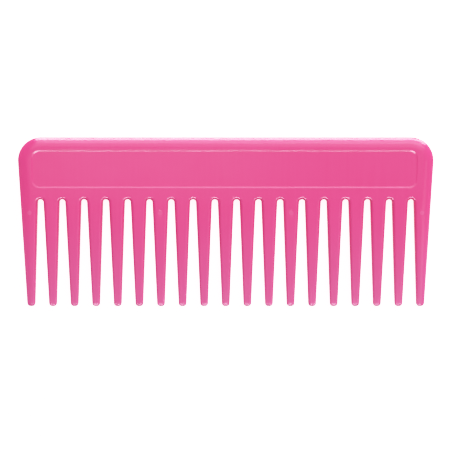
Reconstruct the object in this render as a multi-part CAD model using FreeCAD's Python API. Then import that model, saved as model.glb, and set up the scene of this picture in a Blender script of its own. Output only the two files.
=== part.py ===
import FreeCAD, Part
import math
import os

# A wide tooth comb with no handle, moulded in one piece. It lies flat: X runs along the comb, +Y points
# from the teeth to the back of the spine, and +Z is up. The origin is on the surface that the comb lies
# on, under the middle of its outline. Each member of the moulding is a node of its own: the spine, and
# nineteen teeth that meet it face to face at their roots.

# Driving dimensions, in millimetres.
TOOTH_COUNT = 19
PITCH = 8.21
OVERALL_DEPTH = 64.15
THICKNESS = 4.6

# Spine: the solid bar along the back.
SPINE_DEPTH = 23.25
CORNER_RADIUS = 8.8
BACK_ROUND = 2.1
ROOT_STUB = 0.4

# Recessed panel in each face of the spine.
PANEL_LENGTH = 145.0
PANEL_WIDTH = 14.2
PANEL_FROM_BACK = 4.65
PANEL_MIDDLE_X = -0.45
PANEL_CORNER_RADIUS = 2.1
PANEL_RECESS = 0.25
PANEL_WALL_RUN = 0.5

# Teeth: the width of one side, from the centre line, at the top of the gaps and at the tip.
HALF_WIDTH_ROOT = 3.0
HALF_WIDTH_TIP = 1.4
END_HALF_WIDTH_ROOT = 3.55
END_HALF_WIDTH_TIP = 1.54
TIP_THICKNESS = 2.2
TIP_CORNER_RADIUS = 1.15
TOOTH_ROUND = 0.8
FLAT_RUN = 5.0

# Shallow round marks that the ejector pins leave on the upper face.
MARKED_TEETH = (1, 7, 13, 19)
MARK_DIAMETER = 1.9
MARK_DEPTH = 0.06
MARK_FROM_BACK = 28.25

# Levels along Y, and the slopes of the teeth's sides.
BACK_Y = OVERALL_DEPTH / 2
TIP_Y = -OVERALL_DEPTH / 2
GAP_TOP_Y = BACK_Y - SPINE_DEPTH
GAP_DEPTH = GAP_TOP_Y - TIP_Y
SIDE_SLOPE = (HALF_WIDTH_ROOT - HALF_WIDTH_TIP) / GAP_DEPTH
END_SLOPE = (END_HALF_WIDTH_ROOT - END_HALF_WIDTH_TIP) / GAP_DEPTH

# The arch at the top of a gap is a circle that touches both of the gap's sides. The spine reaches a
# little below the arches' feet, and the teeth start there.
SIDE_COSINE = math.cos(math.atan(SIDE_SLOPE))
GAP_HALF_WIDTH = PITCH / 2 - HALF_WIDTH_ROOT
ARCH_RADIUS = GAP_HALF_WIDTH * SIDE_COSINE / (1 - SIDE_SLOPE * SIDE_COSINE)
ARCH_HALF_WIDTH = ARCH_RADIUS * SIDE_COSINE
ARCH_FOOT_Y = GAP_TOP_Y - ARCH_RADIUS * (1 - SIDE_SLOPE * SIDE_COSINE)
ROOT_Y = ARCH_FOOT_Y - ROOT_STUB
FLAT_END_Y = ROOT_Y - FLAT_RUN

END_TOOTH_X = PITCH * (TOOTH_COUNT - 1) / 2
TOLERANCE = 1e-6


def point(x, y, z=0.0):
    return FreeCAD.Vector(x, y, z)


def line(start, end):
    return Part.LineSegment(start, end).toShape()


def arc(start, middle, end):
    return Part.Arc(start, middle, end).toShape()


def end_x(y):
    """Where the comb's right end is at the level y."""
    return END_TOOTH_X + END_HALF_WIDTH_ROOT + END_SLOPE * (y - GAP_TOP_Y)


def normal_z(face, where):
    """The vertical part of a face's normal at a point on it."""
    u, v = face.Surface.parameter(where)
    return abs(face.normalAt(u, v).z)


def rim_edges(solid, inside):
    """The edges where an upright wall meets the upper or lower skin, where inside(x, y) is true."""
    found = []
    for edge in solid.Edges:
        where = edge.valueAt((edge.FirstParameter + edge.LastParameter) / 2)
        faces = solid.ancestorsOfType(edge, Part.Face)
        tilts = sorted(normal_z(face, where) for face in faces)
        if len(tilts) == 2 and tilts[0] < 0.5 < tilts[1] and inside(where.x, where.y):
            found.append(edge)
    return found


def corner_arc(side):
    """The outline's rounded corner between the back and one end: its start, middle and end points."""
    end_angle = math.atan(END_SLOPE)
    centre_y = BACK_Y - CORNER_RADIUS
    centre_x = end_x(centre_y) - CORNER_RADIUS / math.cos(end_angle)
    angles = (-end_angle, (math.pi / 2 - end_angle) / 2, math.pi / 2)
    return [
        point(
            side * (centre_x + CORNER_RADIUS * math.cos(angle)),
            centre_y + CORNER_RADIUS * math.sin(angle),
        )
        for angle in angles
    ]


def spine_outline():
    """The spine seen from above: back, corners, ends, and an arch over each gap along the front."""
    right = corner_arc(1)
    left = corner_arc(-1)
    foot_half_width = ARCH_HALF_WIDTH + SIDE_SLOPE * ROOT_STUB
    edges = [
        line(point(end_x(ROOT_Y), ROOT_Y), right[0]),
        arc(*right),
        line(right[2], left[2]),
        arc(left[2], left[1], left[0]),
        line(left[0], point(-end_x(ROOT_Y), ROOT_Y)),
    ]
    start = point(-end_x(ROOT_Y), ROOT_Y)
    for gap in range(TOOTH_COUNT - 1):
        middle_x = PITCH * (gap + 0.5) - END_TOOTH_X
        arch_start = point(middle_x - ARCH_HALF_WIDTH, ARCH_FOOT_Y)
        arch_end = point(middle_x + ARCH_HALF_WIDTH, ARCH_FOOT_Y)
        gap_left = point(middle_x - foot_half_width, ROOT_Y)
        gap_right = point(middle_x + foot_half_width, ROOT_Y)
        edges.append(line(start, gap_left))
        edges.append(line(gap_left, arch_start))
        edges.append(arc(arch_start, point(middle_x, GAP_TOP_Y), arch_end))
        edges.append(line(arch_end, gap_right))
        start = gap_right
    edges.append(line(start, point(end_x(ROOT_Y), ROOT_Y)))
    return Part.Wire(edges)


def rounded_rectangle(length, width, radius, middle, z):
    """A level rounded rectangle about a middle point given as (x, y)."""
    half_length = length / 2 - radius
    half_width = width / 2 - radius
    diagonal = radius * math.sqrt(0.5)
    corners = [(1, 1), (-1, 1), (-1, -1), (1, -1)]
    arcs = []
    for index, (side_x, side_y) in enumerate(corners):
        centre_x = middle[0] + side_x * half_length
        centre_y = middle[1] + side_y * half_width
        along_x = point(centre_x + side_x * radius, centre_y, z)
        along_y = point(centre_x, centre_y + side_y * radius, z)
        halfway = point(centre_x + side_x * diagonal, centre_y + side_y * diagonal, z)
        ends = (along_x, along_y) if index % 2 == 0 else (along_y, along_x)
        arcs.append((ends[0], halfway, ends[1]))
    edges = []
    for index, (start, halfway, end) in enumerate(arcs):
        edges.append(arc(start, halfway, end))
        edges.append(line(end, arcs[(index + 1) % 4][0]))
    return Part.Wire(edges)


def panel_recess(face_z, floor_z):
    """What the recessed panel takes out of one face. Its walls slope gently down to its floor."""
    middle = (PANEL_MIDDLE_X, BACK_Y - PANEL_FROM_BACK - PANEL_WIDTH / 2)
    mouth = rounded_rectangle(PANEL_LENGTH, PANEL_WIDTH, PANEL_CORNER_RADIUS, middle, face_z)
    floor = rounded_rectangle(
        PANEL_LENGTH - 2 * PANEL_WALL_RUN,
        PANEL_WIDTH - 2 * PANEL_WALL_RUN,
        PANEL_CORNER_RADIUS - PANEL_WALL_RUN,
        middle,
        floor_z,
    )
    return Part.makeLoft([mouth, floor], True, True)


def spine():
    """The bar along the back, rounded all round, with a recessed panel in both faces."""
    blank = Part.Face(spine_outline()).extrude(point(0, 0, THICKNESS))
    outer = rim_edges(blank, lambda x, y: y > GAP_TOP_Y + TOLERANCE)
    blank = blank.makeFillet(BACK_ROUND, outer)
    gaps = rim_edges(blank, lambda x, y: ROOT_Y + TOLERANCE < y < GAP_TOP_Y + TOLERANCE)
    blank = blank.makeFillet(TOOTH_ROUND, gaps)
    blank = blank.cut(panel_recess(THICKNESS, THICKNESS - PANEL_RECESS))
    return blank.cut(panel_recess(0.0, PANEL_RECESS))


def tooth_outline(right_root, right_tip):
    """A tooth of full thickness about its centre line, with both corners of its tip rounded. Its left
    side is the common one."""
    grown = (ROOT_Y - TIP_Y) / GAP_DEPTH
    left = HALF_WIDTH_TIP + (HALF_WIDTH_ROOT - HALF_WIDTH_TIP) * grown
    right = right_tip + (right_root - right_tip) * grown
    outline = Part.makePolygon(
        [
            point(-left, ROOT_Y),
            point(-HALF_WIDTH_TIP, TIP_Y),
            point(right_tip, TIP_Y),
            point(right, ROOT_Y),
            point(-left, ROOT_Y),
        ]
    )
    blank = Part.Face(outline).extrude(point(0, 0, THICKNESS))
    tip_corners = [
        edge
        for edge in blank.Edges
        if edge.BoundBox.ZLength > THICKNESS / 2 and edge.BoundBox.YMax < TIP_Y + TOLERANCE
    ]
    return blank.makeFillet(TIP_CORNER_RADIUS, tip_corners)


def thickness_profile():
    """A tooth seen from the side: level near its root, then curving in from both faces to its tip."""
    tip_low = (THICKNESS - TIP_THICKNESS) / 2
    tip_high = THICKNESS - tip_low
    half_run = (FLAT_END_Y - TIP_Y) / 2
    half_drop = tip_low / 4
    reach = 2 * END_HALF_WIDTH_ROOT
    edges = [
        line(point(-reach, ROOT_Y, 0), point(-reach, FLAT_END_Y, 0)),
        arc(
            point(-reach, FLAT_END_Y, 0),
            point(-reach, FLAT_END_Y - half_run, half_drop),
            point(-reach, TIP_Y, tip_low),
        ),
        line(point(-reach, TIP_Y, tip_low), point(-reach, TIP_Y, tip_high)),
        arc(
            point(-reach, TIP_Y, tip_high),
            point(-reach, FLAT_END_Y - half_run, THICKNESS - half_drop),
            point(-reach, FLAT_END_Y, THICKNESS),
        ),
        line(point(-reach, FLAT_END_Y, THICKNESS), point(-reach, ROOT_Y, THICKNESS)),
        line(point(-reach, ROOT_Y, THICKNESS), point(-reach, ROOT_Y, 0)),
    ]
    return Part.Face(Part.Wire(edges)).extrude(point(2 * reach, 0, 0))


def tooth_rims(blank):
    """Every long edge of a tooth and the edges round its tip."""
    return rim_edges(blank, lambda x, y: y < ROOT_Y - TOLERANCE)


def inner_tooth():
    """A tooth with the same taper on both sides."""
    blank = tooth_outline(HALF_WIDTH_ROOT, HALF_WIDTH_TIP).common(thickness_profile())
    return blank.makeFillet(TOOTH_ROUND, tooth_rims(blank))


def outer_radius(y):
    """The rounding along an end tooth's outer edge: the spine's at the root, the common one at the tip."""
    tip_start = TIP_Y + TIP_CORNER_RADIUS
    share = max(0.0, (y - tip_start) / (ROOT_Y - tip_start))
    return TOOTH_ROUND + (BACK_ROUND - TOOTH_ROUND) * share


def end_radii(edge):
    """An end tooth's rounding at the lower and the upper end of one of its edges."""
    box = edge.BoundBox
    if box.XMin < 0 or box.YLength < 2 * TIP_CORNER_RADIUS:
        return TOOTH_ROUND, TOOTH_ROUND
    return outer_radius(box.YMin), outer_radius(box.YMax)


def right_end_tooth():
    """The tooth at the right end. Its outer side is in line with the spine's end."""
    blank = tooth_outline(END_HALF_WIDTH_ROOT, END_HALF_WIDTH_TIP).common(thickness_profile())
    rims = tooth_rims(blank)
    document = FreeCAD.newDocument()
    base = document.addObject("Part::Feature", "Blank")
    base.Shape = blank
    rounding = document.addObject("Part::Fillet", "Rounding")
    rounding.Base = base
    rounding.Edges = [
        (index, *end_radii(edge))
        for index, edge in enumerate(blank.Edges, start=1)
        if any(edge.isSame(rim) for rim in rims)
    ]
    document.recompute()
    rounded = rounding.Shape.copy()
    FreeCAD.closeDocument(document.Name)
    return rounded


def tooth(number):
    """One tooth in its place, counted from the left. The two end teeth are mirror images."""
    x = (number - 1) * PITCH - END_TOOTH_X
    if number == 1:
        shape = right_end_tooth().mirror(point(0, 0), point(1, 0))
    elif number == TOOTH_COUNT:
        shape = right_end_tooth()
    else:
        shape = inner_tooth()
    shape.translate(point(x, 0))
    if number in MARKED_TEETH:
        shape = shape.cut(ejector_mark(x))
    return shape


def ejector_mark(x):
    """What an ejector pin's mark takes out of the upper face."""
    base = point(x, BACK_Y - MARK_FROM_BACK, THICKNESS - MARK_DEPTH)
    return Part.makeCylinder(MARK_DIAMETER / 2, 2 * MARK_DEPTH, base)


def main():
    os.makedirs("parts", exist_ok=True)
    spine().exportStep("parts/spine.step")
    for number in range(1, TOOTH_COUNT + 1):
        tooth(number).exportStep(f"parts/tooth_{number:02d}.step")


main()
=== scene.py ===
"""A wide tooth comb with no handle, moulded in one shot of pink plastic and lying flat on a pale table.

The spine and the nineteen teeth are pieces of their own, as in the frame, and meet at the teeth's roots.
Sizes are in millimetres in the classes' fields and become metres where a mesh is made.
"""

import logging
import math
from collections.abc import Callable
from dataclasses import dataclass, field
from enum import Enum

import bmesh
import bpy
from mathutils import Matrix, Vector


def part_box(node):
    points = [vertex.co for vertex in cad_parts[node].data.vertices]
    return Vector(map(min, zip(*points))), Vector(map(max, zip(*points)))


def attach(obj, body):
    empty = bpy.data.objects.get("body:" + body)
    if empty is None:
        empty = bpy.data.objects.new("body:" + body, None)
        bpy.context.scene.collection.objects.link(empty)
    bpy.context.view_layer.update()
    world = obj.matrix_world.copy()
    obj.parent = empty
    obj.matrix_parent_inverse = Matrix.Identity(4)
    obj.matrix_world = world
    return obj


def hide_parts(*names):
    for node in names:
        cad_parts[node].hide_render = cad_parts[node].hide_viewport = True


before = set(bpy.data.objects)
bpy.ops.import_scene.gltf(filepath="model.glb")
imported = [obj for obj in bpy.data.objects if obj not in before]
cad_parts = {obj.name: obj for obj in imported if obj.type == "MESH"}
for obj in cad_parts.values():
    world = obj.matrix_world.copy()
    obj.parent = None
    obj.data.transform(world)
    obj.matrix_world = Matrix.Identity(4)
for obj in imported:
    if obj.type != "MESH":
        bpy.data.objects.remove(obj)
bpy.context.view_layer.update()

LOG = logging.getLogger("comb")
MM = 0.001

# Places nearer than the first count as the same place; points nearer than the second become one.
NEAR = 0.01 * MM
MERGED = 0.001 * MM

# The upright part of a face's normal: a wall has less than the first, a level face more than the
# second, and a truly flat one more than the third.
WALL_TILT = 0.1
LEVEL_TILT = 0.99
FLAT_TILT = 0.999

# The watts that make each square metre of an area light as bright as 1.
WATTS_PER_BRIGHTNESS = 4.0

BODY = "root"


class Domain(Enum):
    """What a selection picks."""

    VERTS = "VERT"
    EDGES = "EDGE"
    FACES = "FACE"


class Side(Enum):
    """Which face of the comb something is on, as the sign of its outward direction."""

    UPPER = 1
    LOWER = -1


# ---------------------------------------------------------------------------------------------------
# Small modelling helpers
# ---------------------------------------------------------------------------------------------------


def open_mesh(piece: bpy.types.Object) -> None:
    """Makes a piece the only selected one and opens its mesh for editing, with nothing picked.

    Args:
        piece: the mesh object to edit.
    """
    if bpy.context.object and bpy.context.object.mode != "OBJECT":
        bpy.ops.object.mode_set(mode="OBJECT")
    bpy.ops.object.select_all(action="DESELECT")
    piece.select_set(True)
    bpy.context.view_layer.objects.active = piece
    bpy.ops.object.mode_set(mode="EDIT")
    bpy.ops.mesh.select_all(action="DESELECT")


def close_mesh() -> None:
    """Goes back to object mode."""
    bpy.ops.object.mode_set(mode="OBJECT")


def pick(domain: Domain, test: Callable[[object], bool]) -> None:
    """Selects the parts of the open mesh that pass a test, and nothing else.

    Args:
        domain: whether vertices, edges or faces are tested.
        test: says whether one of them is wanted.
    """
    bpy.ops.mesh.select_mode(type=domain.value)
    bpy.ops.mesh.select_all(action="DESELECT")
    mesh = bpy.context.object.data
    shape = bmesh.from_edit_mesh(mesh)
    shape.normal_update()
    parts = {Domain.VERTS: shape.verts, Domain.EDGES: shape.edges, Domain.FACES: shape.faces}[domain]
    wanted = [part for part in parts if test(part)]
    for part in wanted:
        part.select_set(True)
    shape.select_flush_mode()
    bmesh.update_edit_mesh(mesh)


def middle(edge: bmesh.types.BMEdge) -> Vector:
    """The point half way along an edge."""
    return (edge.verts[0].co + edge.verts[1].co) / 2


def steepness(edge: bmesh.types.BMEdge) -> list[float]:
    """The upright part of the normal of each face beside an edge, smallest first."""
    return sorted(abs(face.normal.z) for face in edge.link_faces)


def is_rim(edge: bmesh.types.BMEdge) -> bool:
    """Whether an edge lies between a level face and an upright wall."""
    tilts = steepness(edge)
    return len(tilts) == 2 and tilts[0] < WALL_TILT and tilts[1] > LEVEL_TILT


def stretch_upright(factor: float, centre_z: float) -> None:
    """Scales the whole open mesh along Z.

    Args:
        factor: how much taller it becomes.
        centre_z: the level that stays where it is.
    """
    bpy.ops.mesh.select_all(action="SELECT")
    bpy.ops.transform.resize(value=(1, 1, factor), center_override=(0, 0, centre_z))
    bpy.ops.mesh.select_all(action="DESELECT")


def subtract(piece: bpy.types.Object, tool: bpy.types.Object) -> None:
    """Cuts a tool's shape out of a piece and throws the tool away.

    Args:
        piece: the mesh object that is cut.
        tool: a closed mesh object.
    """
    cut = piece.modifiers.new("cut", "BOOLEAN")
    cut.operation = "DIFFERENCE"
    cut.solver = "EXACT"
    cut.object = tool
    bpy.context.view_layer.objects.active = piece
    bpy.ops.object.modifier_apply(modifier=cut.name)
    bpy.data.objects.remove(tool, do_unlink=True)


def copy_piece(piece: bpy.types.Object, name: str) -> bpy.types.Object:
    """Copies a piece together with its mesh.

    Args:
        piece: what to copy.
        name: the copy's name.

    Returns:
        The copy, linked into the scene.
    """
    twin = piece.copy()
    twin.data = piece.data.copy()
    twin.name = name
    twin.data.name = name
    bpy.context.collection.objects.link(twin)
    return twin


def settle(piece: bpy.types.Object) -> None:
    """Puts a piece's place into its mesh, so that its object sits unturned at the origin.

    Args:
        piece: the mesh object.
    """
    bpy.ops.object.select_all(action="DESELECT")
    piece.select_set(True)
    bpy.context.view_layer.objects.active = piece
    bpy.ops.object.transform_apply(location=True, rotation=True, scale=True)


def smooth(piece: bpy.types.Object, crease_degrees: float = 40.0) -> None:
    """Shades a piece smooth, with its flat faces kept flat beside their rounded edges.

    Args:
        piece: the finished mesh object.
        crease_degrees: edges sharper than this stay crisp.
    """
    open_mesh(piece)
    bpy.ops.mesh.select_all(action="SELECT")
    bpy.ops.mesh.remove_doubles(threshold=MERGED)
    bpy.ops.mesh.normals_make_consistent(inside=False)
    close_mesh()
    bpy.ops.object.shade_smooth_by_angle(angle=math.radians(crease_degrees))
    weighting = piece.modifiers.new("weighting", "WEIGHTED_NORMAL")
    weighting.mode = "FACE_AREA"
    weighting.keep_sharp = True
    bpy.ops.object.modifier_apply(modifier=weighting.name)


# ---------------------------------------------------------------------------------------------------
# The plastic
# ---------------------------------------------------------------------------------------------------


def linear(code: str) -> tuple[float, float, float, float]:
    """Turns an sRGB hex colour into the linear values that a shader takes.

    Args:
        code: six hex digits after a hash sign.

    Returns:
        Linear red, green and blue, and an alpha of 1.
    """
    channels = [int(code[start : start + 2], 16) / 255 for start in (1, 3, 5)]
    straight = [c / 12.92 if c <= 0.04045 else ((c + 0.055) / 1.055) ** 2.4 for c in channels]
    return (*straight, 1.0)


def add_node(
    tree: bpy.types.NodeTree,
    kind: str,
    values: dict[str | int, object] | None = None,
    **settings: object,
) -> bpy.types.Node:
    """Adds a shader node with its settings and links.

    Args:
        tree: the node tree that gets the node.
        kind: the node's type.
        values: by the input's name or number, what it holds or the output socket that feeds it.
        **settings: the node's own properties.

    Returns:
        The new node.
    """
    node = tree.nodes.new(kind)
    for name, value in settings.items():
        setattr(node, name, value)
    for name, value in (values or {}).items():
        if isinstance(value, bpy.types.NodeSocket):
            tree.links.new(value, node.inputs[name])
        else:
            node.inputs[name].default_value = value
    return node


def noise_scale(size_mm: float) -> float:
    """The scale that gives a noise blotches of about that size, on coordinates in metres."""
    return 1 / (size_mm * MM)


@dataclass(frozen=True)
class MouldedPolypropylene:
    """Glossy injection-moulded polypropylene with a pink masterbatch.

    The polished mould leaves it glossy, but not like glass: reflections have soft edges. It shrinks
    unevenly as it cools, so wide reflections wander a little, and the pigment follows the melt's flow
    from the spine into each tooth in streaks that are only just lighter and darker. The thin tips are
    painted paler, as painted light of the table's white shining through them, and the colour is a
    touch paler in discs where the ejector marks are. A span is the part of a noise's values that
    becomes the whole range of a colour or of the gloss.
    """

    first_mark_mm: tuple[float, float, float]
    mark_spacing_mm: float
    mark_radius_mm: float
    name: str = "moulded_pink_polypropylene"
    pink: str = "#EB4288"
    pale_pink: str = "#ED478C"
    deep_pink: str = "#E93F85"
    # Painted light: the paler, greyer colour painted on the thin tips for the table's light shining
    # through them.
    painted_tip_glow_pink: str = "#E15796"
    mark_pink: str = "#EC5491"
    mark_blur_mm: float = 0.25
    # Where the tips' painted glow begins and where it is full, along Y.
    tip_glow_from_y_mm: float = 6.0
    tip_glow_to_y_mm: float = -33.0
    cloud_mm: float = 26.0
    cloud_span: tuple[float, float] = (0.3, 0.7)
    streak_width_mm: float = 1.1
    streak_length_mm: float = 24.0
    streak_span: tuple[float, float] = (0.35, 0.75)
    streak_share: float = 0.3
    ior: float = 1.49
    roughness_low: float = 0.15
    roughness_high: float = 0.20
    polish_mm: float = 26.0 / 3
    polish_span: tuple[float, float] = (0.3, 0.7)
    sink_mm: float = 15.0
    sink_height_mm: float = 0.004
    grain_mm: float = 0.5
    grain_height_mm: float = 0.0003

    def make(self) -> bpy.types.Material:
        """Builds the material.

        Returns:
            A material on Object coordinates, which are the comb's own.
        """
        material = bpy.data.materials.new(self.name)
        material.use_nodes = True
        tree = material.node_tree
        tree.nodes.clear()
        place = add_node(tree, "ShaderNodeTexCoord").outputs["Object"]
        colour = self.colour(tree, place)
        shader = add_node(
            tree,
            "ShaderNodeBsdfPrincipled",
            {
                "Base Color": colour,
                "Roughness": self.roughness(tree, place),
                "IOR": self.ior,
                "Normal": self.relief(tree, place),
            },
        )
        add_node(tree, "ShaderNodeOutputMaterial", {"Surface": shader.outputs["BSDF"]})
        return material

    def colour(self, tree: bpy.types.NodeTree, place: bpy.types.NodeSocket) -> bpy.types.NodeSocket:
        """Clouds of pigment with fine streaks along the teeth, painted light paler at the thin tips,
        paler in the marks.

        Args:
            tree: the material's nodes.
            place: the coordinates, in metres.

        Returns:
            The colour.
        """
        noise = add_node(
            tree,
            "ShaderNodeTexNoise",
            {"Vector": place, "Scale": noise_scale(self.cloud_mm), "Detail": 2.0, "Roughness": 0.5},
        )
        clouds = add_node(tree, "ShaderNodeValToRGB", {"Fac": noise.outputs["Fac"]})
        ends = zip(clouds.color_ramp.elements, self.cloud_span, (self.deep_pink, self.pink))
        for end, position, code in ends:
            end.position = position
            end.color = linear(code)
        layers = (
            (self.streaks(tree, place), self.pale_pink),
            # Painted light: the tips are painted paler, as the table's light shining through them.
            (self.painted_tip_glow(tree, place), self.painted_tip_glow_pink),
            (self.marks(tree, place), self.mark_pink),
        )
        share_input, first_input, second_input, colour_output = 0, 6, 7, 2
        colour = clouds.outputs["Color"]
        for share, code in layers:
            mixed = add_node(
                tree,
                "ShaderNodeMix",
                {share_input: share, first_input: colour, second_input: linear(code)},
                data_type="RGBA",
            )
            colour = mixed.outputs[colour_output]
        return colour

    def streaks(self, tree: bpy.types.NodeTree, place: bpy.types.NodeSocket) -> bpy.types.NodeSocket:
        """The faint streaks that the melt's flow draws along the teeth.

        Args:
            tree: the material's nodes.
            place: the coordinates, in metres.

        Returns:
            The share of the streaks' colour, from 0 up to streak_share.
        """
        along = self.streak_width_mm / self.streak_length_mm
        stretch = add_node(tree, "ShaderNodeMapping", {"Vector": place, "Scale": (1.0, along, 1.0)})
        noise = add_node(
            tree,
            "ShaderNodeTexNoise",
            {
                "Vector": stretch.outputs["Vector"],
                "Scale": noise_scale(self.streak_width_mm),
                "Detail": 3.0,
                "Roughness": 0.5,
            },
        )
        lowest, highest = self.streak_span
        strength = add_node(
            tree,
            "ShaderNodeMapRange",
            {
                "Value": noise.outputs["Fac"],
                "From Min": lowest,
                "From Max": highest,
                "To Max": self.streak_share,
            },
        )
        return strength.outputs["Result"]

    def painted_tip_glow(self, tree: bpy.types.NodeTree, place: bpy.types.NodeSocket) -> bpy.types.NodeSocket:
        """Painted light: how much paler the thin ends of the teeth are painted, as the table's light
        shining through.

        Args:
            tree: the material's nodes.
            place: the coordinates, in metres.

        Returns:
            0 in the spine, rising to 1 past the tips.
        """
        level = add_node(tree, "ShaderNodeSeparateXYZ", {"Vector": place})
        painted_tip_glow = add_node(
            tree,
            "ShaderNodeMapRange",
            {
                "Value": level.outputs["Y"],
                "From Min": self.tip_glow_from_y_mm * MM,
                "From Max": self.tip_glow_to_y_mm * MM,
            },
        )
        return painted_tip_glow.outputs["Result"]

    def marks(self, tree: bpy.types.NodeTree, place: bpy.types.NodeSocket) -> bpy.types.NodeSocket:
        """Paler in evenly spaced discs where the ejector marks are.

        Args:
            tree: the material's nodes.
            place: the coordinates, in metres.

        Returns:
            1 inside a disc and 0 outside.
        """
        first = tuple(part * MM for part in self.first_mark_mm)
        half = self.mark_spacing_mm / 2 * MM
        # Only X repeats: Y and Z would start again a metre away, well past the comb.
        offset = add_node(tree, "ShaderNodeVectorMath", {0: place, 1: first}, operation="SUBTRACT")
        nearest = add_node(
            tree,
            "ShaderNodeVectorMath",
            {0: offset.outputs["Vector"], 1: (half, 1.0, 1.0), 2: (-half, -1.0, -1.0)},
            operation="WRAP",
        )
        away = add_node(tree, "ShaderNodeVectorMath", {0: nearest.outputs["Vector"]}, operation="LENGTH")
        disc = add_node(
            tree,
            "ShaderNodeMapRange",
            {
                "Value": away.outputs["Value"],
                "From Min": self.mark_radius_mm * MM,
                "From Max": (self.mark_radius_mm - self.mark_blur_mm) * MM,
            },
        )
        return disc.outputs["Result"]

    def roughness(self, tree: bpy.types.NodeTree, place: bpy.types.NodeSocket) -> bpy.types.NodeSocket:
        """The gloss varies a little from place to place, as the mould's polish does.

        Args:
            tree: the material's nodes.
            place: the coordinates, in metres.

        Returns:
            The roughness.
        """
        noise = add_node(
            tree,
            "ShaderNodeTexNoise",
            {"Vector": place, "Scale": noise_scale(self.polish_mm), "Detail": 4.0, "Roughness": 0.5},
        )
        lowest, highest = self.polish_span
        gloss = add_node(
            tree,
            "ShaderNodeMapRange",
            {
                "Value": noise.outputs["Fac"],
                "From Min": lowest,
                "From Max": highest,
                "To Min": self.roughness_low,
                "To Max": self.roughness_high,
            },
        )
        return gloss.outputs["Result"]

    def relief(self, tree: bpy.types.NodeTree, place: bpy.types.NodeSocket) -> bpy.types.NodeSocket:
        """Slow sink waves, and the mould polish's fine grain on them.

        Args:
            tree: the material's nodes.
            place: the coordinates, in metres.

        Returns:
            The bent normal.
        """
        normal = None
        layers = (
            (self.sink_mm, 0.0, self.sink_height_mm),
            (self.grain_mm, 2.0, self.grain_height_mm),
        )
        for size_mm, detail, height_mm in layers:
            noise = add_node(
                tree,
                "ShaderNodeTexNoise",
                {"Vector": place, "Scale": noise_scale(size_mm), "Detail": detail, "Roughness": 0.5},
            )
            values = {"Height": noise.outputs["Fac"], "Distance": height_mm * MM, "Strength": 1.0}
            if normal is not None:
                values["Normal"] = normal
            normal = add_node(tree, "ShaderNodeBump", values).outputs["Normal"]
        return normal


# ---------------------------------------------------------------------------------------------------
# The comb
# ---------------------------------------------------------------------------------------------------


@dataclass
class Plan:
    """The sizes that the spine and the teeth share, in millimetres, some of them read from the frame."""

    tooth_count: int = 19
    # How far a tooth's sides, and the comb's ends, lean in for each millimetre towards the tips.
    side_slope: float = 1.6 / 40.9
    end_slope: float = 2.01 / 40.9
    spine_depth: float = 23.25
    tooth_edge: float = 1.25
    back_edge_wide: float = 4.2
    back_edge_deep: float = 2.1
    back_y: float = field(init=False)
    gap_top_y: float = field(init=False)
    root_y: float = field(init=False)
    tip_y: float = field(init=False)
    thickness: float = field(init=False)
    pitch: float = field(init=False)
    root_half_width: float = field(init=False)
    end_root_x: float = field(init=False)

    def __post_init__(self) -> None:
        """Reads the frame's boxes."""
        _, spine_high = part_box("spine")
        first_low, first_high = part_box("tooth_02")
        second_low, second_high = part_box("tooth_03")
        _, end_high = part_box(self.node(self.tooth_count))
        self.back_y = spine_high.y / MM
        self.gap_top_y = self.back_y - self.spine_depth
        self.root_y = first_high.y / MM
        self.tip_y = first_low.y / MM
        self.thickness = spine_high.z / MM
        self.pitch = (second_low.x + second_high.x - first_low.x - first_high.x) / 2 / MM
        self.root_half_width = (first_high.x - first_low.x) / 2 / MM
        self.end_root_x = end_high.x / MM

    @property
    def crown_ratio(self) -> float:
        """How much wider than deep the back, the corners and the ends are rounded."""
        return self.back_edge_wide / self.back_edge_deep

    def node(self, number: int) -> str:
        """The name of a tooth's node, counted from the left."""
        return f"tooth_{number:02d}"

    def tooth_x(self, number: int) -> float:
        """Where a tooth's centre line is."""
        return (number - (self.tooth_count + 1) / 2) * self.pitch

    def end_x(self, y: float) -> float:
        """Where the comb's right end is at the level y."""
        return self.end_root_x + self.end_slope * (y - self.root_y)


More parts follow.
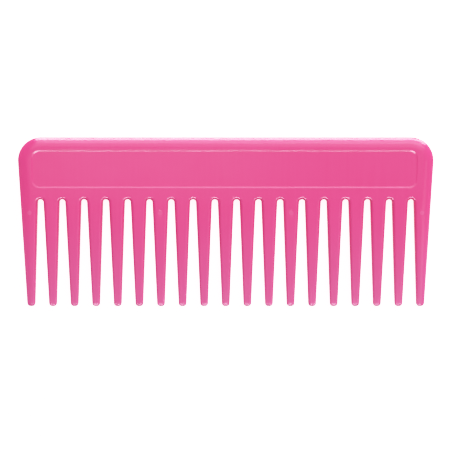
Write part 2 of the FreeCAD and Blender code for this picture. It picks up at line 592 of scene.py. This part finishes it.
@dataclass
class Spine:
    """The bar along the back, with an arch over each gap and a recessed panel in both faces."""

    plan: Plan
    corner_radius: float = 8.8
    corner_steps: int = 28
    back_steps: int = 14
    gap_steps: int = 12
    arch_points: int = 56
    panel_length: float = 145.0
    panel_width: float = 14.2
    panel_from_back: float = 4.65
    panel_middle_x: float = -0.45
    panel_recess: float = 0.25
    panel_wall_run: float = 0.5
    panel_corner: float = 2.1
    panel_corner_steps: int = 10
    panel_edge: float = 0.08
    panel_edge_steps: int = 3
    panel_wall_tilts: tuple[float, float] = (0.8, 0.95)
    panel_reach: float = 0.3
    cutter_below: float = 2.0
    cutter_margin: float = 1.0

    def build(self) -> bpy.types.Object:
        """Models the spine from a block.

        Returns:
            The finished mesh object.
        """
        piece = self.block()
        subtract(piece, self.gap_cutters())
        self.round_back(piece)
        self.round_gaps(piece)
        for side in Side:
            subtract(piece, self.panel_punch(side))
        self.soften_panels(piece)
        smooth(piece)
        return piece

    def block(self) -> bpy.types.Object:
        """A block with sloping ends and rounded corners at its back.

        Returns:
            The block.
        """
        plan = self.plan
        depth = plan.back_y - plan.root_y
        bpy.ops.object.select_all(action="DESELECT")
        bpy.ops.mesh.primitive_cube_add(
            size=1,
            location=(0, (plan.back_y + plan.root_y) / 2 * MM, plan.thickness / 2 * MM),
            scale=(2 * plan.end_x(plan.back_y) * MM, depth * MM, plan.thickness * MM),
        )
        piece = bpy.context.object
        piece.name = "spine_moulding"
        piece.data.name = piece.name
        settle(piece)
        open_mesh(piece)
        pick(Domain.VERTS, lambda vert: vert.co.y < (plan.root_y * MM + NEAR))
        narrowing = plan.end_x(plan.root_y) / plan.end_x(plan.back_y)
        bpy.ops.transform.resize(value=(narrowing, 1, 1), center_override=(0, 0, 0))
        pick(
            Domain.EDGES,
            lambda edge: middle(edge).y > plan.back_y * MM - NEAR
            and abs(edge.verts[0].co.z - edge.verts[1].co.z) > NEAR,
        )
        half_angle = (math.pi / 2 - math.atan(plan.end_slope)) / 2
        tangent_length = self.corner_radius / math.tan(half_angle)
        bpy.ops.mesh.bevel(offset=tangent_length * MM, segments=self.corner_steps, affect="EDGES")
        close_mesh()
        return piece

    def gap_cutters(self) -> bpy.types.Object:
        """What the gaps take out of the block: an arch over two sides that spread apart.

        Returns:
            One object with a separate cutter for every gap.
        """
        plan = self.plan
        root_gap = plan.pitch / 2 - plan.root_half_width
        top_gap = root_gap - plan.side_slope * (plan.gap_top_y - plan.root_y)
        cosine = math.cos(math.atan(plan.side_slope))
        radius = top_gap * cosine / (1 - plan.side_slope * cosine)
        centre_y = plan.gap_top_y - radius
        bottom_y = plan.root_y - self.cutter_below
        bottom_half = root_gap + plan.side_slope * self.cutter_below
        left_x = plan.tooth_x(1) + plan.pitch / 2
        bpy.ops.object.select_all(action="DESELECT")
        bpy.ops.mesh.primitive_circle_add(
            vertices=self.arch_points,
            radius=radius * MM,
            fill_type="NGON",
            location=(left_x * MM, centre_y * MM, -self.cutter_margin * MM),
        )
        cutter = bpy.context.object
        settle(cutter)
        open_mesh(cutter)
        pick(Domain.VERTS, lambda vert: vert.co.y < centre_y * MM - NEAR)
        widening = bottom_half / (radius * math.cos(2 * math.pi / self.arch_points))
        # The circle's lower half is pulled flat, onto the line where the cutter ends.
        line_centre = (left_x * MM, bottom_y * MM, 0)
        bpy.ops.transform.resize(value=(widening, 0, 1), center_override=line_centre)
        pick(Domain.FACES, lambda face: True)
        bpy.ops.mesh.extrude_region_move(
            TRANSFORM_OT_translate={"value": (0, 0, (plan.thickness + 2 * self.cutter_margin) * MM)}
        )
        bpy.ops.mesh.select_all(action="SELECT")
        bpy.ops.mesh.normals_make_consistent(inside=False)
        more_gaps = plan.tooth_count - 2
        for _ in range(more_gaps):
            bpy.ops.mesh.duplicate_move(TRANSFORM_OT_translate={"value": (plan.pitch * MM, 0, 0)})
        close_mesh()
        return cutter

    def round_back(self, piece: bpy.types.Object) -> None:
        """Rounds the back, the corners and the ends, wider than deep, so that the border is crowned.

        Args:
            piece: the block with its gaps cut.
        """
        plan = self.plan
        open_mesh(piece)
        stretch_upright(plan.crown_ratio, plan.thickness / 2 * MM)
        pick(Domain.EDGES, lambda edge: is_rim(edge) and middle(edge).y > plan.gap_top_y * MM + NEAR)
        bpy.ops.mesh.bevel(
            offset=plan.back_edge_wide * MM,
            segments=self.back_steps,
            affect="EDGES",
            clamp_overlap=False,
        )
        stretch_upright(1 / plan.crown_ratio, plan.thickness / 2 * MM)
        close_mesh()

    def round_gaps(self, piece: bpy.types.Object) -> None:
        """Rounds the edges of the arches and of the short stubs below them.

        Args:
            piece: the spine with its back rounded.
        """
        plan = self.plan
        open_mesh(piece)
        pick(
            Domain.EDGES,
            lambda edge: is_rim(edge)
            and plan.root_y * MM + NEAR < middle(edge).y < plan.gap_top_y * MM + NEAR,
        )
        bpy.ops.mesh.bevel(
            offset=plan.tooth_edge * MM,
            segments=self.gap_steps,
            affect="EDGES",
            clamp_overlap=False,
        )
        close_mesh()

    def panel_punch(self, side: Side) -> bpy.types.Object:
        """The block that the recessed panel takes out of one face. Its sides slope gently.

        Args:
            side: the face that it is pressed into.

        Returns:
            The punch.
        """
        plan = self.plan
        face_z = plan.thickness if side is Side.UPPER else 0.0
        middle_y = plan.back_y - self.panel_from_back - self.panel_width / 2
        floor_length = self.panel_length - 2 * self.panel_wall_run
        floor_width = self.panel_width - 2 * self.panel_wall_run
        bpy.ops.object.select_all(action="DESELECT")
        bpy.ops.mesh.primitive_cube_add(
            size=1,
            location=(self.panel_middle_x * MM, middle_y * MM, face_z * MM),
            scale=(floor_length * MM, floor_width * MM, 2 * self.panel_recess * MM),
        )
        punch = bpy.context.object
        settle(punch)
        open_mesh(punch)
        pick(Domain.VERTS, lambda vert: (vert.co.z - face_z * MM) * side.value > 0)
        # The punch stands as far out of the face as it goes in, so its sides slope over two runs.
        longer = (floor_length + 4 * self.panel_wall_run) / floor_length
        wider = (floor_width + 4 * self.panel_wall_run) / floor_width
        centre = (self.panel_middle_x * MM, middle_y * MM, 0)
        bpy.ops.transform.resize(value=(longer, wider, 1), center_override=centre)
        pick(Domain.EDGES, lambda edge: abs(edge.verts[0].co.z - edge.verts[1].co.z) > NEAR)
        bpy.ops.mesh.bevel(
            offset=self.panel_corner * MM, segments=self.panel_corner_steps, affect="EDGES"
        )
        close_mesh()
        return punch

    def is_panel_fold(self, edge: bmesh.types.BMEdge) -> bool:
        """Whether an edge lies between a panel's sloping side and a level face.

        Args:
            edge: an edge of the spine.

        Returns:
            True for the edges of the panels' lips and feet.
        """
        plan = self.plan
        tilts = steepness(edge)
        low_tilt, high_tilt = self.panel_wall_tilts
        if len(tilts) != 2 or not (low_tilt < tilts[0] < high_tilt and tilts[1] > FLAT_TILT):
            return False
        place = middle(edge)
        top_y = (plan.back_y - self.panel_from_back + self.panel_reach) * MM
        bottom_y = (plan.back_y - self.panel_from_back - self.panel_width - self.panel_reach) * MM
        half_length = (self.panel_length / 2 + self.panel_reach) * MM
        return bottom_y < place.y < top_y and abs(place.x - self.panel_middle_x * MM) < half_length

    def soften_panels(self, piece: bpy.types.Object) -> None:
        """Rounds the lip and the foot of each panel's sloping sides.

        Args:
            piece: the spine with its panels pressed in.
        """
        open_mesh(piece)
        pick(Domain.EDGES, self.is_panel_fold)
        bpy.ops.mesh.bevel(
            offset=self.panel_edge * MM,
            segments=self.panel_edge_steps,
            affect="EDGES",
            clamp_overlap=False,
        )
        close_mesh()


@dataclass
class Tooth:
    """A tooth drawn out from its root in short steps, down to a round tip.

    Its left and right half widths are given at the root and at the tip.
    """

    plan: Plan
    name: str
    left_root: float
    right_root: float
    left_tip: float = 1.4
    right_tip: float = 1.4
    crowned_right: bool = False
    tip_thickness: float = 2.2
    flat_run: float = 5.0
    tip_corner: float = 1.15
    tip_round: float = 1.05
    length_steps: int = 18
    tip_steps: int = 9
    edge_steps: int = 12
    back_steps: int = 14
    face_columns: int = 8
    camber: float = 0.05
    camber_run: float = 9.0
    least_half_width: float = 0.05

    def build(self) -> bpy.types.Object:
        """Models the tooth about its own centre line.

        Returns:
            The mesh object, not yet smoothed.
        """
        piece = self.root_section()
        open_mesh(piece)
        pick(Domain.FACES, lambda face: True)
        here = self.plan.root_y
        for there in self.levels():
            self.draw_out(here, there)
            here = there
        self.close_root()
        close_mesh()
        self.arch_faces(piece)
        return piece

    def root_section(self) -> bpy.types.Object:
        """The outline of the tooth where it meets the spine, as an upright face.

        Returns:
            An object with that one face.
        """
        plan = self.plan
        width = self.left_root + self.right_root
        centre_x = (self.right_root - self.left_root) / 2
        bpy.ops.object.select_all(action="DESELECT")
        bpy.ops.mesh.primitive_plane_add(
            size=1,
            location=(centre_x * MM, plan.root_y * MM, plan.thickness / 2 * MM),
            rotation=(math.pi / 2, 0, 0),
        )
        piece = bpy.context.object
        piece.name = self.name
        piece.data.name = self.name
        piece.scale = (width * MM, plan.thickness * MM, 1)
        settle(piece)
        open_mesh(piece)
        self.round_section_corners(right=True, crowned=self.crowned_right)
        self.round_section_corners(right=False, crowned=False)
        pick(
            Domain.EDGES,
            lambda edge: abs(edge.verts[0].co.z - edge.verts[1].co.z) < NEAR
            and edge.calc_length() > plan.tooth_edge * MM,
        )
        bpy.ops.mesh.subdivide(number_cuts=self.face_columns - 1)
        close_mesh()
        return piece

    def round_section_corners(self, right: bool, crowned: bool) -> None:
        """Rounds the two corners on one side of the root section.

        Args:
            right: whether it is the right side or the left.
            crowned: whether they carry on the spine's wide, shallow rounding.
        """
        plan = self.plan
        ratio = plan.crown_ratio if crowned else 1.0
        wide = plan.back_edge_wide if crowned else plan.tooth_edge
        steps = self.back_steps if crowned else self.edge_steps
        stretch_upright(ratio, plan.thickness / 2 * MM)
        edge_x = (self.right_root if right else -self.left_root) * MM
        pick(Domain.VERTS, lambda vert: abs(vert.co.x - edge_x) < NEAR)
        bpy.ops.mesh.bevel(offset=wide * MM, segments=steps, affect="VERTICES", clamp_overlap=False)
        stretch_upright(1 / ratio, plan.thickness / 2 * MM)

    def levels(self) -> list[float]:
        """Where the tooth is drawn out to, step by step, as places along Y.

        Returns:
            The places, from the root to the tip.
        """
        plan = self.plan
        dome_start = plan.tip_y + self.tip_corner
        straight = [
            plan.root_y + (dome_start - plan.root_y) * step / self.length_steps
            for step in range(1, self.length_steps + 1)
        ]
        dome = [
            plan.tip_y + self.tip_corner * (1 - math.sin(math.pi / 2 * step / self.tip_steps))
            for step in range(1, self.tip_steps + 1)
        ]
        return straight + dome

    def half_widths(self, y: float) -> tuple[float, float]:
        """How far the tooth reaches to its left and right at a level.

        Args:
            y: the place along the tooth.

        Returns:
            The left and the right half width.
        """
        plan = self.plan
        share = (plan.root_y - y) / (plan.root_y - plan.tip_y)
        left = self.left_root + (self.left_tip - self.left_root) * share
        right = self.right_root + (self.right_tip - self.right_root) * share
        turned_in = self.falling_short(y - plan.tip_y, self.tip_corner)
        return left - turned_in, right - turned_in

    def half_thickness(self, y: float) -> float:
        """Half of the tooth's thickness at a level: even at first, then curving in to the tip.

        Args:
            y: the place along the tooth.

        Returns:
            The half thickness.
        """
        plan = self.plan
        run = max(0.0, plan.root_y - self.flat_run - y)
        whole_run = plan.root_y - self.flat_run - plan.tip_y
        drop = (plan.thickness - self.tip_thickness) / 2 * (run / whole_run) ** 2
        return plan.thickness / 2 - drop - self.falling_short(y - plan.tip_y, self.tip_round)

    def falling_short(self, from_tip: float, radius: float) -> float:
        """How far a quarter round of that radius at the tip stays inside the straight side.

        Args:
            from_tip: the distance from the tip.
            radius: the rounding's radius.

        Returns:
            The distance, which is zero above the rounding.
        """
        inside = max(0.0, radius - from_tip)
        return radius - math.sqrt(max(0.0, radius**2 - inside**2))

    def draw_out(self, here: float, there: float) -> None:
        """Extrudes the picked face one step and brings it to its new size.

        Args:
            here: where the face is now.
            there: where it goes.
        """
        plan = self.plan
        left, right = self.half_widths(here)
        new_left, new_right = self.half_widths(there)
        tall, new_tall = self.half_thickness(here), self.half_thickness(there)
        aside = ((new_right - new_left) - (right - left)) / 2
        bpy.ops.mesh.extrude_region_move(
            TRANSFORM_OT_translate={"value": (aside * MM, (there - here) * MM, 0)}
        )
        bpy.ops.transform.resize(
            value=((new_left + new_right) / (left + right), 1, new_tall / tall),
            center_override=((new_right - new_left) / 2 * MM, there * MM, plan.thickness / 2 * MM),
        )

    def close_root(self) -> None:
        """Closes the open end that rests against the spine."""
        bpy.ops.mesh.select_mode(type="EDGE")
        bpy.ops.mesh.select_all(action="DESELECT")
        bpy.ops.mesh.select_non_manifold()
        bpy.ops.mesh.edge_face_add()

    def arch_faces(self, piece: bpy.types.Object) -> None:
        """Gives both faces a slight camber across the tooth, which grows from nothing at the root.

        Args:
            piece: the drawn-out tooth.
        """
        plan = self.plan
        middle_z = plan.thickness / 2 * MM
        for vert in piece.data.vertices:
            y = vert.co.y / MM
            left, right = self.half_widths(y)
            centre, half = (right - left) / 2, (left + right) / 2
            across = (vert.co.x / MM - centre) / max(half, self.least_half_width)
            share = min(1.0, max(0.0, (plan.root_y - y) / self.camber_run))
            eased = share * share * (3 - 2 * share)
            vert.co.z = middle_z + (vert.co.z - middle_z) * (1 - self.camber * eased * across**2)


@dataclass
class EjectorMark:
    """The shallow round mark that an ejector pin leaves on a tooth's upper face."""

    plan: Plan
    floor_radius: float = 0.88
    mouth_radius: float = 0.95
    depth: float = 0.03
    from_back: float = 28.25
    points: int = 48
    pin_above: float = 0.3

    def press(self, piece: bpy.types.Object, x: float) -> None:
        """Presses the mark into a tooth. Its side slopes gently.

        Args:
            piece: the tooth, in its place.
            x: the mark's centre along the comb.
        """
        plan = self.plan
        slope = (self.mouth_radius - self.floor_radius) / self.depth
        bpy.ops.object.select_all(action="DESELECT")
        bpy.ops.mesh.primitive_cone_add(
            vertices=self.points,
            radius1=self.floor_radius * MM,
            radius2=(self.mouth_radius + slope * self.pin_above) * MM,
            depth=(self.depth + self.pin_above) * MM,
            location=(
                x * MM,
                (plan.back_y - self.from_back) * MM,
                (plan.thickness + (self.pin_above - self.depth) / 2) * MM,
            ),
        )
        pin = bpy.context.object
        settle(pin)
        subtract(piece, pin)


@dataclass
class Comb:
    """The whole comb: one moulding, kept as a spine and nineteen teeth."""

    plan: Plan = field(default_factory=Plan)
    marked_teeth: tuple[int, ...] = (1, 7, 13, 19)

    def build(self) -> dict[str, bpy.types.Object]:
        """Models every piece in its place.

        Returns:
            The pieces by the name of the node that each stands for.
        """
        pieces = {"spine": Spine(self.plan).build()}
        pieces.update(self.teeth())
        for node, piece in pieces.items():
            LOG.info("modelled %s: %d faces", node, len(piece.data.polygons))
        return pieces

    def teeth(self) -> dict[str, bpy.types.Object]:
        """Models one inner tooth and one end tooth, and copies them to their places.

        Returns:
            The teeth by their node's name.
        """
        plan = self.plan
        last = plan.tooth_count
        inner = Tooth(plan, "tooth_pattern", plan.root_half_width, plan.root_half_width).build()
        end = Tooth(
            plan,
            "end_tooth_pattern",
            plan.root_half_width,
            plan.end_root_x - plan.tooth_x(last),
            right_tip=1.54,
            crowned_right=True,
        ).build()
        teeth = {}
        mark = EjectorMark(plan)
        for number in range(1, last + 1):
            node = plan.node(number)
            pattern = end if number in (1, last) else inner
            piece = copy_piece(pattern, f"{node}_moulding")
            if number == 1:
                piece.scale.x = -1
            piece.location.x = plan.tooth_x(number) * MM
            settle(piece)
            if number in self.marked_teeth:
                mark.press(piece, plan.tooth_x(number))
            smooth(piece)
            teeth[node] = piece
        for pattern in (inner, end):
            bpy.data.objects.remove(pattern, do_unlink=True)
        return teeth

    def plastic(self) -> MouldedPolypropylene:
        """The comb's plastic, with its paler discs where the ejector marks are.

        Returns:
            The finish.
        """
        plan = self.plan
        mark = EjectorMark(plan)
        first_x, second_x = (plan.tooth_x(number) for number in self.marked_teeth[:2])
        return MouldedPolypropylene(
            first_mark_mm=(first_x, plan.back_y - mark.from_back, plan.thickness),
            mark_spacing_mm=second_x - first_x,
            mark_radius_mm=mark.mouth_radius,
        )

    def dress(self, pieces: dict[str, bpy.types.Object]) -> None:
        """Gives every piece the plastic and ties it to the frame.

        Args:
            pieces: the pieces by their node's name.
        """
        material = self.plastic().make()
        for node, piece in pieces.items():
            piece.data.materials.clear()
            piece.data.materials.append(material)
            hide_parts(node)
            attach(piece, BODY)
            LOG.info("dressed %s", piece.name)


# ---------------------------------------------------------------------------------------------------
# The studio
# ---------------------------------------------------------------------------------------------------


@dataclass(frozen=True)
class SoftBox:
    """A rectangular area light that faces a point, as bright as stated next to a white surface's 1."""

    name: str
    place: tuple[float, float, float]
    width: float
    height: float
    brightness: float
    aim: tuple[float, float, float] = (0.0, 0.0, 0.0)
    mirrored_only: bool = False

    def add(self) -> None:
        """Adds the light."""
        lamp = bpy.data.lights.new(self.name, "AREA")
        lamp.shape = "RECTANGLE"
        lamp.size = self.width
        lamp.size_y = self.height
        lamp.energy = WATTS_PER_BRIGHTNESS * self.brightness * self.width * self.height
        light = bpy.data.objects.new(self.name, lamp)
        light.location = self.place
        towards = Vector(self.aim) - Vector(self.place)
        light.rotation_euler = towards.to_track_quat("-Z", "Y").to_euler()
        light.visible_camera = False
        light.visible_diffuse = not self.mirrored_only
        bpy.context.collection.objects.link(light)


@dataclass
class Studio:
    """A pale table, soft boxes round the comb, and a camera over it."""

    table_half_width: float = 6.0
    table_glow: float = 1.1
    sky_left: float = 0.40
    sky_right: float = 0.8
    camera_distance: float = 0.57
    camera_tilt_degrees: float = 6.96
    camera_aim: tuple[float, float, float] = (0.0001, -0.00115, 0.0046)
    lens: float = 120.5
    shoulder: tuple[tuple[float, float], ...] = (
        (0.0, 0.0),
        (0.30, 0.30),
        (0.60, 0.59),
        (0.80, 0.725),
        (0.95, 0.81),
        (1.10, 0.872),
        (1.35, 0.94),
        (1.70, 0.985),
        (2.00, 1.0),
    )
    boxes: tuple[SoftBox, ...] = (
        SoftBox(
            "back_strip",
            place=(0.235, 0.62, 0.045),
            width=1.05,
            height=0.60,
            brightness=10.5,
            aim=(0.235, 0.0, 0.045),
            mirrored_only=True,
        ),
        SoftBox("back_box", place=(0.14, 0.58, 0.64), width=1.0, height=0.42, brightness=2.9),
        SoftBox("top_box", place=(0.04, 0.34, 0.95), width=0.9, height=0.42, brightness=1.15),
        SoftBox(
            "over_box",
            place=(0.0, 0.01, 0.60),
            width=0.42,
            height=0.11,
            brightness=0.42,
            aim=(0.0, 0.01, 0.0),
            mirrored_only=True,
        ),
        SoftBox(
            "over_left_box",
            place=(-0.07, -0.01, 0.61),
            width=0.19,
            height=0.09,
            brightness=0.6,
            aim=(-0.07, -0.01, 0.0),
            mirrored_only=True,
        ),
        SoftBox(
            "right_box",
            place=(0.40, -0.27, 0.66),
            width=0.44,
            height=0.34,
            brightness=1.0,
            mirrored_only=True,
        ),
        SoftBox(
            "front_box",
            place=(0.02, -0.45, 0.536),
            width=0.62,
            height=0.31,
            brightness=11.0,
            mirrored_only=True,
        ),
    )

    def build(self) -> None:
        """Makes the table, the lights, the sky and the camera."""
        self.table()
        for box in self.boxes:
            box.add()
        self.surroundings()
        self.picture()
        self.camera()

    def table(self) -> None:
        """A wide pale table top, which lights the comb's walls but isn't mirrored in them."""
        bpy.ops.object.select_all(action="DESELECT")
        bpy.ops.mesh.primitive_plane_add(size=2 * self.table_half_width, location=(0, 0, 0))
        top = bpy.context.object
        top.name = "table_top"
        top.visible_glossy = False
        top.visible_shadow = False
        # Cast acrylic sheet with a matted face: an even, bright white without mirror images.
        material = bpy.data.materials.new("matt_white_acrylic")
        material.use_nodes = True
        tree = material.node_tree
        tree.nodes.clear()
        shader = add_node(
            tree,
            "ShaderNodeBsdfPrincipled",
            {
                "Base Color": linear("#F4F4F4"),
                "Roughness": 0.7,
                "Emission Color": linear("#FFFFFF"),
                "Emission Strength": self.table_glow,
            },
        )
        add_node(tree, "ShaderNodeOutputMaterial", {"Surface": shader.outputs["BSDF"]})
        top.data.materials.append(material)

    def surroundings(self) -> None:
        """A white room that is darker to the left of the comb."""
        world = bpy.data.worlds.new("studio")
        world.use_nodes = True
        tree = world.node_tree
        tree.nodes.clear()
        direction = add_node(tree, "ShaderNodeTexCoord").outputs["Generated"]
        across = add_node(tree, "ShaderNodeSeparateXYZ", {"Vector": direction}).outputs["X"]
        strength = add_node(
            tree,
            "ShaderNodeMapRange",
            {
                "Value": across,
                "From Min": -1.0,
                "From Max": 1.0,
                "To Min": self.sky_left,
                "To Max": self.sky_right,
            },
        ).outputs["Result"]
        values = {"Color": linear("#FFFFFF"), "Strength": strength}
        backdrop = add_node(tree, "ShaderNodeBackground", values)
        add_node(tree, "ShaderNodeOutputWorld", {"Surface": backdrop.outputs["Background"]})
        bpy.context.scene.world = world

    def picture(self) -> None:
        """Gives the picture a camera's soft shoulder, so that highlights roll off to white."""
        view = bpy.context.scene.view_settings
        view.view_transform = "Standard"
        view.look = "None"
        view.use_curve_mapping = True
        mapping = view.curve_mapping
        brightest = self.shoulder[-1][0]
        mapping.white_level = (brightest, brightest, brightest)
        combined = 3
        points = mapping.curves[combined].points
        points[0].location = self.shoulder[0]
        points[1].location = (1.0, self.shoulder[-1][1])
        for scene_value, shown in self.shoulder[1:-1]:
            points.new(scene_value / brightest, shown)
        mapping.update()

    def camera(self) -> None:
        """A long lens over the comb, a little towards its back."""
        data = bpy.data.cameras.new("camera")
        data.lens = self.lens
        data.sensor_width = 36.0
        data.clip_start = 0.01
        camera = bpy.data.objects.new("camera", data)
        tilt = math.radians(self.camera_tilt_degrees)
        aim = Vector(self.camera_aim)
        camera.location = aim + self.camera_distance * Vector((0, math.sin(tilt), math.cos(tilt)))
        camera.rotation_euler = (-tilt, 0, 0)
        bpy.context.collection.objects.link(camera)
        bpy.context.scene.camera = camera


def main() -> None:
    """Builds the comb and the studio."""
    logging.basicConfig(level=logging.INFO, format="%(name)s: %(message)s")
    comb = Comb()
    pieces = comb.build()
    comb.dress(pieces)
    Studio().build()


if __name__ == "__main__":
    main()
